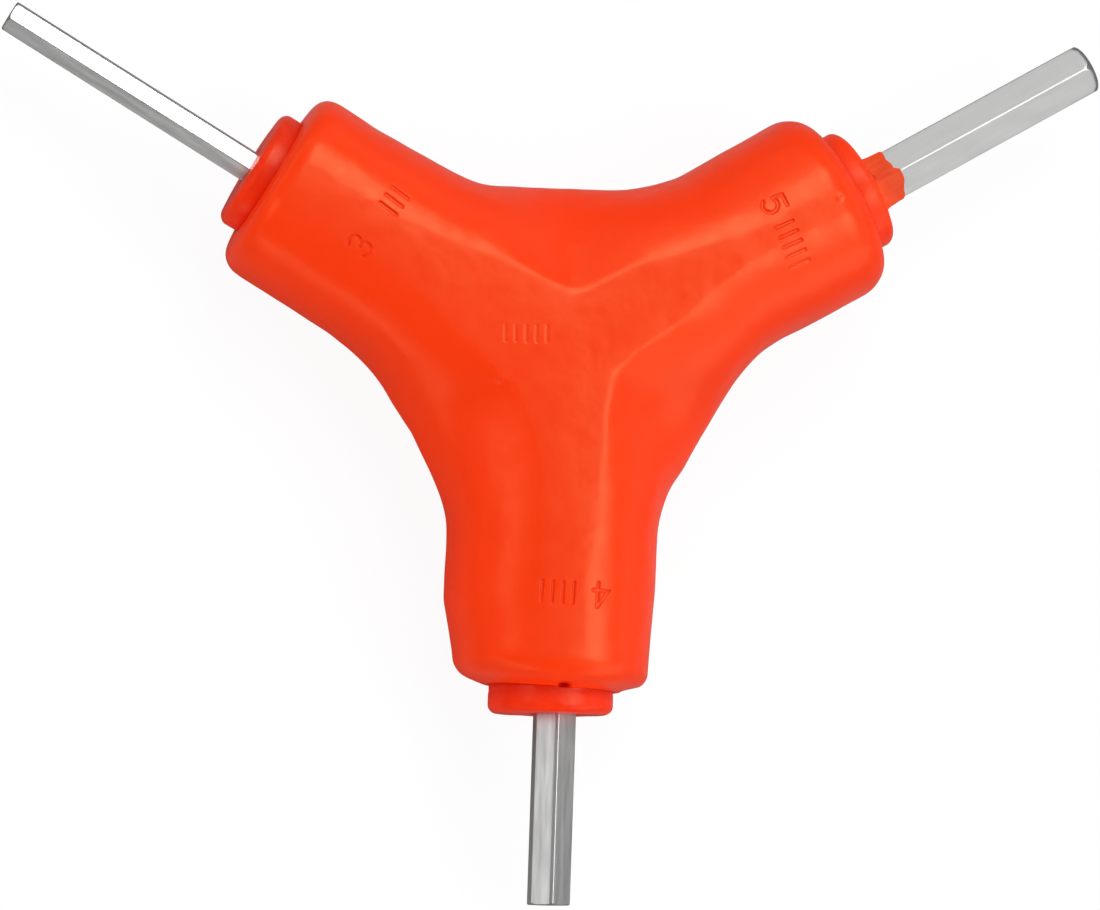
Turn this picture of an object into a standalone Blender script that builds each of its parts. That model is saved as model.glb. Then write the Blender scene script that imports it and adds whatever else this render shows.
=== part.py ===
"""Y wrench: three hex keys of unlike size held in a Y-shaped moulded grip.

The tool lies on its back. The arms spread in the XY plane and Z is the thickness.
The origin is the centre of the hub, on the flat back face. The arm of the largest
key points to 30 degrees, that of the smallest to 150 and the third to 270.

Along an arm, a station is a distance from the hub centre. In a section across an
arm, the crest is the flat on top, and the flank falls from it to the side outline.
"""

import math

import bmesh
import bpy
from mathutils import Matrix, Vector

MM = 0.001

# Grip, outside
grip_thickness = 20.6 * MM
arm_length = 33.9 * MM
arm_end_radius = 9.7 * MM
arm_edge_radius = 2.6 * MM
arm_draft = math.radians(2.75)
crotch_distance = 16.6 * MM
crotch_radius = 14.0 * MM
crest_corner_distance = 6.3 * MM
crest_end_half_width = 0.6 * MM
crest_slope_share = 0.38

# Grip, inside
skin_wall = 2.8 * MM
end_wall = 3.0 * MM
crotch_wall = 6.2 * MM

# Core
hub_cover = 3.0 * MM
hub_rim_chamfer = 1.6 * MM
lock_groove_depth = 0.8 * MM
lock_groove_width = 2.4 * MM
lock_groove_stations = (15.0 * MM, 20.5 * MM)

# Collars
collar_radius = 6.3 * MM
collar_projection = 2.2 * MM
collar_edge_radius = 0.9 * MM
flange_lip = 0.9 * MM
flange_thickness = 2.2 * MM
sheath_wall = 0.3 * MM
sheath_projection = 2.8 * MM

# Keys
key_root_station = 7.5 * MM
neck_station = 10.5 * MM
neck_length = 2.6 * MM
neck_depth = 0.45 * MM
root_chamfer = 0.3 * MM
small_flats = 3.0 * MM
small_reach = 64.3 * MM
small_tip_radius = 0.25 * MM
small_roll = math.radians(17.7)
middle_flats = 4.0 * MM
middle_reach = 55.0 * MM
middle_tip_radius = 0.3 * MM
large_flats = 5.0 * MM
large_reach = 61.7 * MM
large_tip_radius = 0.9 * MM

# Fits and cuts
fit_clearance = 0.2 * MM
cutter_overrun = 1.0 * MM
weld_distance = 0.0005 * MM

# Counts and shares of the meshes
turned_steps = 32
hub_rows = 3
arc_rows = 4
side_rows = 3
edge_rows = 3
crest_columns = 2
flank_columns = 8
round_steps = 3
envelope_share = 1.1

HALF_SECTOR = math.radians(60)

ARMS = {
    "5mm": {
        "angle": math.radians(30),
        "roll": 0,
        "flats": large_flats,
        "reach": large_reach,
        "tip_radius": large_tip_radius,
        "sheath": True,
    },
    "3mm": {
        "angle": math.radians(150),
        "roll": small_roll,
        "flats": small_flats,
        "reach": small_reach,
        "tip_radius": small_tip_radius,
        "sheath": False,
    },
    "4mm": {
        "angle": math.radians(270),
        "roll": 0,
        "flats": middle_flats,
        "reach": middle_reach,
        "tip_radius": middle_tip_radius,
        "sheath": False,
    },
}

# Places that several pieces share
half_thickness = grip_thickness / 2
core_radius = arm_end_radius - skin_wall - fit_clearance
hub_radius = crotch_distance - crotch_wall
hub_half_height = half_thickness - hub_cover
flange_radius = core_radius + flange_lip
flange_outer_station = arm_length - end_wall
flange_inner_station = flange_outer_station - flange_thickness
core_end_station = flange_inner_station - fit_clearance
collar_face_station = arm_length + collar_projection


def clear_scene():
    for old in list(bpy.data.objects):
        bpy.data.objects.remove(old, do_unlink=True)


def new_collection(name):
    collection = bpy.data.collections.new(name)
    bpy.context.scene.collection.children.link(collection)
    return collection


def new_material(name, colour, roughness, metallic):
    material = bpy.data.materials.new(name)
    material.use_nodes = True
    shader = material.node_tree.nodes["Principled BSDF"]
    shader.inputs["Base Color"].default_value = (*colour, 1)
    shader.inputs["Roughness"].default_value = roughness
    shader.inputs["Metallic"].default_value = metallic
    return material


def add_object(name, mesh, collection):
    made = bpy.data.objects.new(name, mesh)
    collection.objects.link(made)
    return made


def mark_cutter(cutter):
    cutter.hide_render = True
    cutter.display_type = "WIRE"


def along_arm(arm):
    """Matrix that lays a shape made along +Z, with +Y on top, along an arm."""
    turn = Matrix.Rotation(arm["angle"], 4, "Z")
    lay = Matrix(((0, 0, 1, 0), (1, 0, 0, 0), (0, 1, 0, 0), (0, 0, 0, 1)))
    roll = Matrix.Rotation(arm["roll"], 4, "Z")
    return Matrix.Translation((0, 0, half_thickness)) @ turn @ lay @ roll


def turned(name, profile, placement, collection):
    """Body turned about Z from (radius, station) pairs that run from top to bottom."""
    mesh = bpy.data.meshes.new(name)
    edges = [(i, i + 1) for i in range(len(profile) - 1)]
    mesh.from_pydata([(radius, 0, station) for radius, station in profile], edges, [])
    made = add_object(name, mesh, collection)
    made.matrix_world = placement
    screw = made.modifiers.new("turn", "SCREW")
    screw.axis = "Z"
    screw.steps = turned_steps
    screw.render_steps = turned_steps
    screw.use_merge_vertices = True
    screw.merge_threshold = weld_distance
    return made


def hex_prism(name, flats, low, high, placement, collection):
    """Six-sided bar along Z with a corner at +Y."""
    mesh = bpy.data.meshes.new(name)
    form = bmesh.new()
    corner = flats / math.sqrt(3)
    bmesh.ops.create_cone(
        form,
        cap_ends=True,
        cap_tris=False,
        segments=6,
        radius1=corner,
        radius2=corner,
        depth=high - low,
        matrix=Matrix.Translation((0, 0, (low + high) / 2)),
    )
    form.to_mesh(mesh)
    form.free()
    made = add_object(name, mesh, collection)
    made.matrix_world = placement
    return made


def combine(target, other, operation):
    step = target.modifiers.new(operation.lower() + "_" + other.name, "BOOLEAN")
    step.operation = operation
    step.solver = "EXACT"
    step.object = other


def rounded_edge(radius, station, edge_radius):
    """Quarter round from a flat top at the station out to the radius, as pairs."""
    points = []
    for i in range(round_steps + 1):
        turn = math.radians(90) * i / round_steps
        across = radius - edge_radius * (1 - math.sin(turn))
        along = station - edge_radius * (1 - math.cos(turn))
        points.append((across, along))
    return points


def line_crossing():
    """Distance from the crotch ray at which its flat meets the drafted arm side."""
    slope = math.tan(arm_draft)
    side_at_hub = arm_end_radius + arm_length * slope
    rise = crotch_distance * (math.sin(HALF_SECTOR) + slope * math.cos(HALF_SECTOR))
    return (rise - side_at_hub) / (math.cos(HALF_SECTOR) - slope * math.sin(HALF_SECTOR))


def from_ray(forward, sideways):
    """Plan point (station, offset) given along and across the crotch ray."""
    station = forward * math.cos(HALF_SECTOR) + sideways * math.sin(HALF_SECTOR)
    offset = forward * math.sin(HALF_SECTOR) - sideways * math.cos(HALF_SECTOR)
    return station, offset


def side_half_width(station):
    return arm_end_radius + (arm_length - station) * math.tan(arm_draft)


def hub_outline():
    """Side outline from the crotch ray to the end of the crotch blend."""
    turn = math.radians(90) - HALF_SECTOR - arm_draft
    crossing = line_crossing()
    radius = min(crotch_radius, crossing / math.tan(turn / 2))
    flat = crossing - radius * math.tan(turn / 2)
    points = [from_ray(crotch_distance, flat * i / hub_rows) for i in range(hub_rows)]
    for i in range(arc_rows + 1):
        angle = turn * i / arc_rows
        forward = crotch_distance + radius * (1 - math.cos(angle))
        points.append(from_ray(forward, flat + radius * math.sin(angle)))
    return points


def crest_half_width(station):
    """Half width of the flat crest, narrowing from its corner to the arm end."""
    start = crest_corner_distance * math.cos(HALF_SECTOR)
    start_width = crest_corner_distance * math.sin(HALF_SECTOR)
    share = (station - start) / (arm_length - start)
    return start_width + (crest_end_half_width - start_width) * share


def arm_rows():
    """Plan rows of one arm half: axis point, crest edge, outline, half height, slope.

    The first row lies on the crotch ray, and the rows turn square to the arm where
    the crotch blend ends.
    """
    outline = hub_outline()
    blend_end = outline[-1][0]
    crest_start = crest_corner_distance * math.cos(HALF_SECTOR)
    rows = []
    for i, side in enumerate(outline):
        share = i / (len(outline) - 1)
        axis = blend_end * share
        station = crest_start + (blend_end - crest_start) * share
        crest = (station, crest_half_width(station))
        rows.append((axis, crest, side, half_thickness, crest_slope_share))
    edge_start = arm_length - arm_edge_radius
    for i in range(1, side_rows + 1):
        share = i / side_rows
        station = blend_end + (edge_start - blend_end) * share
        height = half_thickness + (arm_end_radius - half_thickness) * share
        slope = crest_slope_share * (1 - share)
        crest = (station, crest_half_width(station))
        rows.append((station, crest, (station, side_half_width(station)), height, slope))
    for i in range(1, edge_rows + 1):
        turn = math.radians(90) * i / edge_rows
        station = edge_start + arm_edge_radius * math.sin(turn)
        inset = arm_edge_radius * (1 - math.cos(turn))
        keep = 1 - inset / arm_end_radius
        crest = (station, crest_half_width(edge_start) * keep)
        side = (station, side_half_width(edge_start) * keep)
        rows.append((station, crest, side, arm_end_radius * keep, 0))
    return rows


def row_points(row):
    """Points of one row from the arm axis over the crest edge down to the outline."""
    axis, crest, side, height, slope = row
    points = []
    for i in range(crest_columns):
        share = i / crest_columns
        points.append((axis + (crest[0] - axis) * share, crest[1] * share, height))
    for i in range(flank_columns + 1):
        share = math.sin(math.radians(90) * i / flank_columns)
        station = crest[0] + (side[0] - crest[0]) * share
        offset = crest[1] + (side[1] - crest[1]) * share
        left = max(0, 1 - slope * share - (1 - slope) * share * share)
        points.append((station, offset, height * math.sqrt(left)))
    return points


def grip_mesh(name):
    """Skin outside as a loft from the V-shaped hub rows to the round arm ends."""
    form = bmesh.new()
    grid = [row_points(row) for row in arm_rows()]
    for arm in ARMS.values():
        turn = Matrix.Rotation(arm["angle"], 4, "Z")
        for side in (1, -1):
            for face in (1, -1):
                verts = []
                for row in grid:
                    line = []
                    for station, offset, height in row:
                        place = turn @ Vector((station, side * offset, 0))
                        place.z = half_thickness + face * height
                        line.append(form.verts.new(place))
                    verts.append(line)
                for low, high in zip(verts, verts[1:]):
                    for j in range(len(low) - 1):
                        form.faces.new((low[j], low[j + 1], high[j + 1], high[j]))
    bmesh.ops.remove_doubles(form, verts=form.verts, dist=weld_distance)
    open_edges = [edge for edge in form.edges if edge.is_boundary]
    bmesh.ops.holes_fill(form, edges=open_edges, sides=0)
    bmesh.ops.recalc_face_normals(form, faces=form.faces)
    mesh = bpy.data.meshes.new(name)
    form.to_mesh(mesh)
    form.free()
    return mesh


def core_arm_profile(grow):
    """Core arm from its end down to the hub centre, grown by a clearance."""
    radius = core_radius + grow
    bottom = radius - lock_groove_depth
    points = [(0, core_end_station + grow), (radius, core_end_station + grow)]
    for station in sorted(lock_groove_stations, reverse=True):
        high = station + lock_groove_width / 2 - grow
        low = station - lock_groove_width / 2 + grow
        points += [(radius, high), (bottom, high), (bottom, low), (radius, low)]
    points += [(radius, 0), (0, 0)]
    return points


def hub_profile(grow):
    radius = hub_radius + grow
    top = hub_half_height + grow
    shoulder = radius - hub_rim_chamfer
    return [
        (0, top),
        (shoulder, top),
        (radius, top - hub_rim_chamfer),
        (radius, -top + hub_rim_chamfer),
        (shoulder, -top),
        (0, -top),
    ]


def collar_profile():
    rim = rounded_edge(collar_radius, collar_face_station, collar_edge_radius)
    return [
        (0, collar_face_station),
        *rim,
        (collar_radius, flange_outer_station),
        (flange_radius, flange_outer_station),
        (flange_radius, flange_inner_station),
        (0, flange_inner_station),
    ]


def collar_seat_profile():
    """Room that the skin leaves round a collar, open through the arm end."""
    radius = collar_radius + fit_clearance
    flange = flange_radius + fit_clearance
    step = flange_outer_station + fit_clearance
    floor = flange_inner_station - fit_clearance
    return [
        (0, arm_length + cutter_overrun),
        (radius, arm_length + cutter_overrun),
        (radius, step),
        (flange, step),
        (flange, floor),
        (0, floor),
    ]


def key_envelope(arm, grow, top):
    """Turned outline that gives a hex bar its neck and its chamfered ends."""
    corner = arm["flats"] / math.sqrt(3) + grow
    outer = corner * envelope_share
    neck = arm["flats"] / 2 - neck_depth + grow
    root = key_root_station - grow
    high = neck_station + neck_length - grow
    low = neck_station + grow
    return [
        *top,
        (outer, high),
        (neck, high),
        (neck, low),
        (outer, low),
        (outer, root + root_chamfer),
        (corner - root_chamfer, root),
        (0, root),
    ]


def hex_bar(name, arm, grow, top, collection, guides):
    """Hex bar cut to its envelope, whose top the caller gives as (radius, station)."""
    placement = along_arm(arm)
    high = top[0][1] + cutter_overrun
    low = key_root_station - cutter_overrun
    flats = arm["flats"] + 2 * grow
    bar = hex_prism(name, flats, low, high, placement, collection)
    envelope = turned(name + "_envelope", key_envelope(arm, grow, top), placement, guides)
    mark_cutter(envelope)
    combine(bar, envelope, "INTERSECT")
    return bar


def make_key(size, arm, steel, parts, guides):
    corner = arm["flats"] / math.sqrt(3)
    tip = rounded_edge(corner, arm["reach"], arm["tip_radius"])
    outer = corner * envelope_share
    top = [(0, arm["reach"]), *tip, (outer, tip[-1][1])]
    key = hex_bar("key_" + size, arm, 0, top, parts, guides)
    key.data.materials.append(steel)


def make_bore(size, arm, guides):
    """Cutter for the socket of a key, through the core and the collar."""
    corner = arm["flats"] / math.sqrt(3) + fit_clearance
    outer = corner * envelope_share
    end = collar_face_station + sheath_projection + cutter_overrun
    bore = hex_bar("bore_" + size, arm, fit_clearance, [(0, end), (outer, end)], guides, guides)
    mark_cutter(bore)
    return bore


def make_collar(size, arm, bore, plastic, parts, guides):
    placement = along_arm(arm)
    collar = turned("collar_" + size, collar_profile(), placement, parts)
    if arm["sheath"]:
        flats = arm["flats"] + 2 * (fit_clearance + sheath_wall)
        end = collar_face_station + sheath_projection
        sheath = hex_prism("sheath_" + size, flats, arm_length, end, placement, guides)
        mark_cutter(sheath)
        combine(collar, sheath, "UNION")
    combine(collar, bore, "DIFFERENCE")
    collar.data.materials.append(plastic)


def make_core(bores, plastic, parts, guides):
    centre = Matrix.Translation((0, 0, half_thickness))
    core = turned("inner_core", hub_profile(0), centre, parts)
    for size, arm in ARMS.items():
        limb = turned("core_arm_" + size, core_arm_profile(0), along_arm(arm), guides)
        mark_cutter(limb)
        combine(core, limb, "UNION")
    for bore in bores:
        combine(core, bore, "DIFFERENCE")
    core.data.materials.append(plastic)


def make_grip(plastic, parts, guides):
    grip = add_object("outer_grip", grip_mesh("outer_grip"), parts)
    centre = Matrix.Translation((0, 0, half_thickness))
    rooms = [turned("hub_room", hub_profile(fit_clearance), centre, guides)]
    for size, arm in ARMS.items():
        placement = along_arm(arm)
        profile = core_arm_profile(fit_clearance)
        rooms.append(turned("arm_room_" + size, profile, placement, guides))
        rooms.append(turned("collar_seat_" + size, collar_seat_profile(), placement, guides))
    for room in rooms:
        mark_cutter(room)
        combine(grip, room, "DIFFERENCE")
    grip.data.materials.append(plastic)


def main():
    clear_scene()
    parts = new_collection("y_wrench")
    guides = new_collection("cutters")
    grip_plastic = new_material("grip_plastic", (0.95, 0.055, 0.014), 0.4, 0)
    core_plastic = new_material("core_plastic", (0.6, 0.04, 0.012), 0.5, 0)
    collar_plastic = new_material("collar_plastic", (0.85, 0.05, 0.014), 0.45, 0)
    steel = new_material("plated_steel", (0.72, 0.72, 0.7), 0.28, 1)
    bores = []
    for size, arm in ARMS.items():
        bore = make_bore(size, arm, guides)
        bores.append(bore)
        make_key(size, arm, steel, parts, guides)
        make_collar(size, arm, bore, collar_plastic, parts, guides)
    make_core(bores, core_plastic, parts, guides)
    make_grip(grip_plastic, parts, guides)


main()
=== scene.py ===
import math

import bmesh
import bpy
import numpy as np
from mathutils import Matrix, Vector, noise


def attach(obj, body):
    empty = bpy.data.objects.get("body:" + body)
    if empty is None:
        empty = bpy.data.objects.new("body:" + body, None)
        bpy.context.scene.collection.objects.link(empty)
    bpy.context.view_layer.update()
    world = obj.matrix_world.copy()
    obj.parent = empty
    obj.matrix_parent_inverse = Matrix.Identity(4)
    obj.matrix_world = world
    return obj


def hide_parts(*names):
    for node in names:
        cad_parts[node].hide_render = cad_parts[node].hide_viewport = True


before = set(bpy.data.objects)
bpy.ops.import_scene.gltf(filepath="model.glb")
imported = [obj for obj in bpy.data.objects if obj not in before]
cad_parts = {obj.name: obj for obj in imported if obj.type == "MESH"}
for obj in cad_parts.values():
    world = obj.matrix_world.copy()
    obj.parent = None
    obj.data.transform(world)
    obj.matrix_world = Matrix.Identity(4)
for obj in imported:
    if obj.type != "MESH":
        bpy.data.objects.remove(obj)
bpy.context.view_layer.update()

# Lengths are in millimetres up to the point where a mesh is made. Along an arm, a
# station is a distance from the hub centre and an offset lies across the arm. A turn
# round an arm is measured from its front.
MM = 0.001
MID = 10.3

# Grip, outside. A slope is how fast the flank starts to fall below the flat: at the
# crotch, along the arm and at its end. The first fades out over the hub.
ARM_LENGTH = 33.9
ARM_END_RADIUS = 9.7
ARM_DRAFT = math.radians(2.75)
CROTCH_DISTANCE = 16.6
CROTCH_RADIUS = 14.0
HUB_SLOPE = 1.35
HUB_SLOPE_FADE = 1.7
CREST_SLOPE = 0.38
CREST_END_SLOPE = 0.16
CROWN = 0.035
HALF_SECTOR = math.radians(60)

# The outline of a crotch is shifted along its ray near it, and across the arm beyond.
SHIFT_LEAN = math.radians(30)
SHIFT_FADE = (3.0, 9.0)

# Grip, mesh counts
HUB_ROWS = 16
ARC_ROWS = 18
SIDE_ROWS = 50
EDGE_ROWS = 12
FACE_ROWS = 7
CREST_COLUMNS = 13
FLANK_COLUMNS = 38
MARK_CUTS = 5
WELD_DISTANCE = 0.002

# Grip, rounding: the edges of the flat, which are sharper at the hub, then the valleys
# in the crotches, then the finer faces round the marks
RIDGE_ROUNDS = 12
RIDGE_SOFTNESS = 0.1
RIDGE_FADE = (8, 18)
VALLEY_ROUNDS = 300
VALLEY_SPREAD = 0.48
VALLEY_LENGTH = 8.0
VALLEY_SIDES = (3, 10)
VALLEY_RIM = (0.5, 4)
MARK_ROUNDS = 14

# Collars, and the mouth of the skin round them, with a rounded edge and a low lip
COLLAR_RADIUS = 6.3
COLLAR_FACE = 36.1
COLLAR_EDGE = 0.9
COLLAR_ROOT = 0.1
COLLAR_SIDES = 96
COLLAR_EDGE_ROWS = 8
FACE_SHARES = (0.35, 0.7, 1)
BORE_PRESS = 0.06
BORE_DEPTH = 1.0
SEAT_GAP = 0.06
SEAT_DEPTH = 1.7
SEAT_FADE = (1.2, 0.2)
MOUTH_EDGE = 0.18
MOUTH_ROUND = 0.3
MOUTH_ROW = 0.6
LIP_HEIGHT = 0.1
LIP_PLACE = 0.5
LIP_WIDTH = 0.32

# Seam at a collar's foot: its depth, and how it runs out, as rise and share of the depth
SEAM_GROOVE = 0.06
SEAM_STEPS = ((-0.1, 0), (0, 0), (0.2, 0.6), (0.45, 1), (0.7, 1))

# Short pit at the seam of the 4 mm collar, and a pinhole in the sheath
PIT_PLACE = (0.3, -33.43, 17.9)
PIT_RADII = (0.8, 0.33, 2.0)
SHORTEST_EDGE = 0.005
PINHOLE = {"turn": 14.5, "station": 36.65, "radius": 0.22, "depth": 0.38}

# Sheath: its rows up to the ragged end and round it, its root behind the collar's face,
# its play on the key, its wall, and how the wall swells where it meets the collar. The
# radius is that of the noise round it, and the reach is its surface's, as a share of
# the key's width. The end and the streaks give heights and scales of noise.
SHEATH_SIDES = 240
SHEATH_ROWS = 24
SHEATH_END_ROWS = 6
SHEATH_ROOT = 0.6
SHEATH_PLAY = 0.04
SHEATH_WALL = 0.17
SHEATH_LEAST = 0.04
SHEATH_FOOT = {"wall": 0.9, "length": 0.5}
SHEATH_RADIUS = 3
SHEATH_REACH = 0.6
SHEATH_END = {"change": 0.2, "scale": 0.9, "round": 0.12}
SHEATH_STREAK = {"change": 0.07, "across": 1.4, "along": 0.7, "end": 0.05}

# Keys: station where they start inside the grip, rows along them and round their tips,
# steps round an edge, and places of the points across a side
KEY_START = 30
KEY_ROWS = 24
TIP_ROWS = 10
FILLET_STEPS = 6
SIDE_SHARES = (0.04, 0.08, 0.12, 0.16, 0.22, 0.5, 0.78, 0.84, 0.88, 0.92, 0.96)

# Slow unevenness of the skin, as size, height and place of each noise, and of a collar,
# whose noise gives the same shape in each run only with a seed
NOISE_SEED = 1
SKIN_WAVES = ((7.5, 0.07, (0, 0, 0)), (2.6, 0.042, (9, 4, 2)), (1.3, 0.008, (1, 7, 5)))
COLLAR_WAVE = {"size": 2.2, "height": 0.05}

# Small marks of the moulding: height and half width of the line where the mould parts,
# and spots on the front as arm, station, offset, radius and height
PARTING_LINE = 0.07
PARTING_HALF_WIDTH = 0.05
SPOTS = (("3mm", 4.5, 6.5, 0.32, 0.16), ("5mm", 31.2, 0.3, 0.4, -0.16))

# Size marks cut into the front: a numeral and plain ribs. The edge of a stroke runs out
# between two shares of its half width, and the margins are the finer faces round it.
NUMERAL_HEIGHT = 2.4
STROKE_WIDTH = 0.32
STROKE_DEPTH = 0.2
STROKE_EDGE = (0.4, 1.6)
MARK_MARGIN = 0.5
SMOOTH_MARGIN = 0.4
RIB_HEIGHT = 2.0
RIB_PITCH = 1.05
HUB_RIBS = {"count": 5, "middle": (-4.7, 1.2), "height": 1.5, "pitch": 1.05, "depth": 0.05}

# Collars' darker and lighter tone, mixed at random. The tones differ per arm as painted
# shade: the 3 mm and 4 mm collars are darker, standing in for the shade they lie in. Then
# the height over which the foot is darker, which is painted shade against the skin
COLLAR_TONES_WITH_SHADE = {
    "3mm": ((0.76, 0.018, 0.002), (0.93, 0.038, 0.004)),
    "4mm": ((0.86, 0.02, 0.0015), (0.99, 0.036, 0.003)),
    "5mm": ((0.88, 0.034, 0.003), (0.98, 0.05, 0.006)),
}
SHADED_FOOT_HEIGHT = 0.9

# Noise in the materials: the values between which most of it lies, its detail, and the
# step from the seed of one noise to the next
TONE_NOISE = {"low": 0.22, "high": 0.78, "detail": 3, "seed": 3.1}
ROUGH_NOISE = {"low": 0.32, "high": 0.68, "detail": 4, "seed": 7.7}
BUMP_NOISE = {"detail": 2, "seed": 5.3}

# Room and floor. The shares in gloss are how far reflections take the white ground and
# horizon. Lengths here are in metres.
ROOM_LEVEL = 0.1
TABLE_IN_GLOSS = 0.03
HORIZON_IN_GLOSS = 0.4
HORIZON = (0.08, 0.2)
FLOOR_HALF = 4
FLOOR_OWN = 0.93
FLOOR_LIT = 0.08
TABLE_EDGE = (0.05, 0.11)
TABLE_TONES = (0.25, 0.05)
UNDER_EDGE = (0.034, 0.042)
# Painted light and shade on the floor under the grip, seen in gloss and bounce: lighter towards
# the lamps, darker on the far side where the grip's shadow falls
PAINTED_LIT_SIDE = {"azimuth": 45, "from": -0.024, "to": -0.004, "least": 0.5, "most": 1.4}

# Lamps by name: tilt from straight up, azimuth, sides in metres, level. The fills stand
# all round near the ground, and their levels are given by azimuth.
LAMP_DISTANCE = 0.9
LAMPS = {
    "box_top": (34.5, 76, (0.48, 0.48), 0.4),
    "box_right": (35, 350, (0.48, 0.48), 0.33),
    "panel_top_left": (60, 108, (0.4, 0.4), 0.04),
    "panel_low_right": (61, 312, (0.4, 0.4), 0.06),
    "panel_left": (51, 174, (0.36, 0.36), 0.074),
    "panel_low_left": (82, 246, (0.4, 0.2), 0.026),
}
FILL_ABOVE = (0, 0, (1.4, 1.4), 0.12)
FILL_TILT = 82
FILL_SIZE = (0.9, 0.2)
FILLS = {0: 0.16, 45: 0.17, 135: 0.39, 225: 0.6, 315: 0.38}

# Camera: how far it stands to the left of the hub and below it, its roll and distance,
# and the frame's size, scale and hub in pixels
VIEW_LEFT = math.radians(9.2)
VIEW_BELOW = math.radians(4.7)
VIEW_ROLL = math.radians(-0.95)
VIEW_DISTANCE = 1.0
FRAME_SIZE = (1100, 910)
HUB_PIXEL = (556, 355)
PIXELS_PER_METRE = 9960
SENSOR_WIDTH = 36

# Each crotch, by the direction of its ray: how far the corner of the flat lies from
# the hub centre, and how far the outline stands off the plain one along the crotch.
CROTCHES = {
    90: {
        "corner": 5.6,
        "outline": (
            (-24, 0.15), (-20, -0.15), (-16, -0.4), (-12, -0.7), (-8, -0.16), (-4, 0.16),
            (0, 0.14), (5, 0.19), (8, -0.22), (12, -0.27), (20, -0.12), (24, 0.25),
        ),
    },
    210: {
        "corner": 7.3,
        "outline": (
            (-24, 0.25), (-18, 0.03), (-13, -0.17), (-7, 0.25), (-4, 0.37), (0, 0.08),
            (5, 0.39), (9, 0.21), (12, 0.39), (18, 0.9), (21, 0.55), (24, 0.2),
        ),
    },
    330: {
        "corner": 5.0,
        "outline": (
            (-24, 0.0), (-16, 0.15), (-10, -0.02), (-6, 0.09), (-3, 0.34), (1, 0.21),
            (5, 0.19), (8, -0.17), (11, -0.8), (14, -0.82), (18, -0.42), (24, -0.1),
        ),
    },
}

# Each arm, by the size of its key. The crest pairs are station and half width of the
# flat on the two sides, and the edges are the rounding on the crest and on each side.
# A dome is how far the end's rim lies behind its mouth. An end is how much shorter the
# skin is, and its slant across the arm.
# A tip is rounded over a length and a depth, and a key leans from one offset at the
# collar to another at its tip. Worn is an edge dressed flat: its turn and depth.
# A sheath's pairs are the turn in degrees and the station it ends at.
# A mark runs between two places, each a station and an offset, numeral first.
ARMS = {
    "5mm": {
        "angle": 30, "roll": 0, "flats": 5.0, "fillet": 0.12, "reach": 62.4,
        "tip": (1.3, 1.2), "lean": (-0.34, -0.34),
        "edge": (2.8, 2.6, 2.4), "dome": 0.3, "end": (0, 0),
        "mark": (25.0, 2.9, 24.5, -3.6),
        "sheath": (
            (-180, 37.6), (-120, 37.0), (-90, 37.4), (-57, 38.8), (-28, 39.3), (4, 39.5),
            (13, 38.9), (60, 38.8), (90, 38.6), (130, 37.8), (180, 37.6),
        ),
        "crest": {
            1: (
                (4, 4.5), (8, 4.3), (11, 4.1), (14, 3.3),
                (17, 2.7), (20, 2.3), (24, 1.6), (34, 1.7),
            ),
            -1: (
                (4, 3.9), (6, 3.5), (12, 2.9), (14, 2.3),
                (16, 1.8), (20, 1.4), (24, 1.2), (34, 1.5),
            ),
        },
    },
    "3mm": {
        "angle": 150, "roll": 15.5, "flats": 3.0, "fillet": 0.08, "reach": 64.5,
        "tip": (0.4, 0.3), "lean": (0.13, -0.12),
        "edge": (2.0, 2.0, 1.8), "dome": 0.2, "end": (0, 0),
        "mark": (23.4, 2.6, 22.6, -4.2),
        "crest": {
            1: (
                (5.7, 6.0), (9, 5.4), (12, 4.7), (15, 3.9),
                (18, 3.3), (22, 3.1), (34, 2.6),
            ),
            -1: (
                (4, 4.6), (8, 4.2), (11, 4.1), (14, 3.3),
                (17, 2.8), (20, 2.5), (24, 2.2), (34, 2.1),
            ),
        },
    },
    "4mm": {
        "angle": 270, "roll": 0, "flats": 4.0, "fillet": 0.12, "reach": 55.2,
        "tip": (0.3, 0.3), "lean": (0.46, 0.14), "worn": (-20, 0.06),
        "edge": (2.0, 0.9, 1.4), "dome": 1.1, "end": (0.32, -0.045),
        "mark": (24.6, 3.4, 24.3, -2.6),
        "crest": {
            1: ((4, 4.0), (6, 3.6), (12, 3.3), (18, 3.1), (20, 2.6), (24, 2.2), (34, 2.0)),
            -1: ((5.5, 5.3), (8.4, 4.1), (12.4, 3.1), (16, 2.8), (20, 2.6), (34, 2.1)),
        },
    },
}


def smooth_step(value, low, high):
    """From nought at low to one at high, level at both."""
    share = np.clip((value - low) / (high - low), 0, 1)
    return share * share * (3 - 2 * share)


# Shape of the skin

def side_half_width(station):
    return ARM_END_RADIUS + (ARM_LENGTH - station) * math.tan(ARM_DRAFT)


def from_ray(forward, sideways):
    """Station and offset of a place given along and across a crotch's ray."""
    station = forward * math.cos(HALF_SECTOR) + sideways * math.sin(HALF_SECTOR)
    offset = forward * math.sin(HALF_SECTOR) - sideways * math.cos(HALF_SECTOR)
    return station, offset


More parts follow.
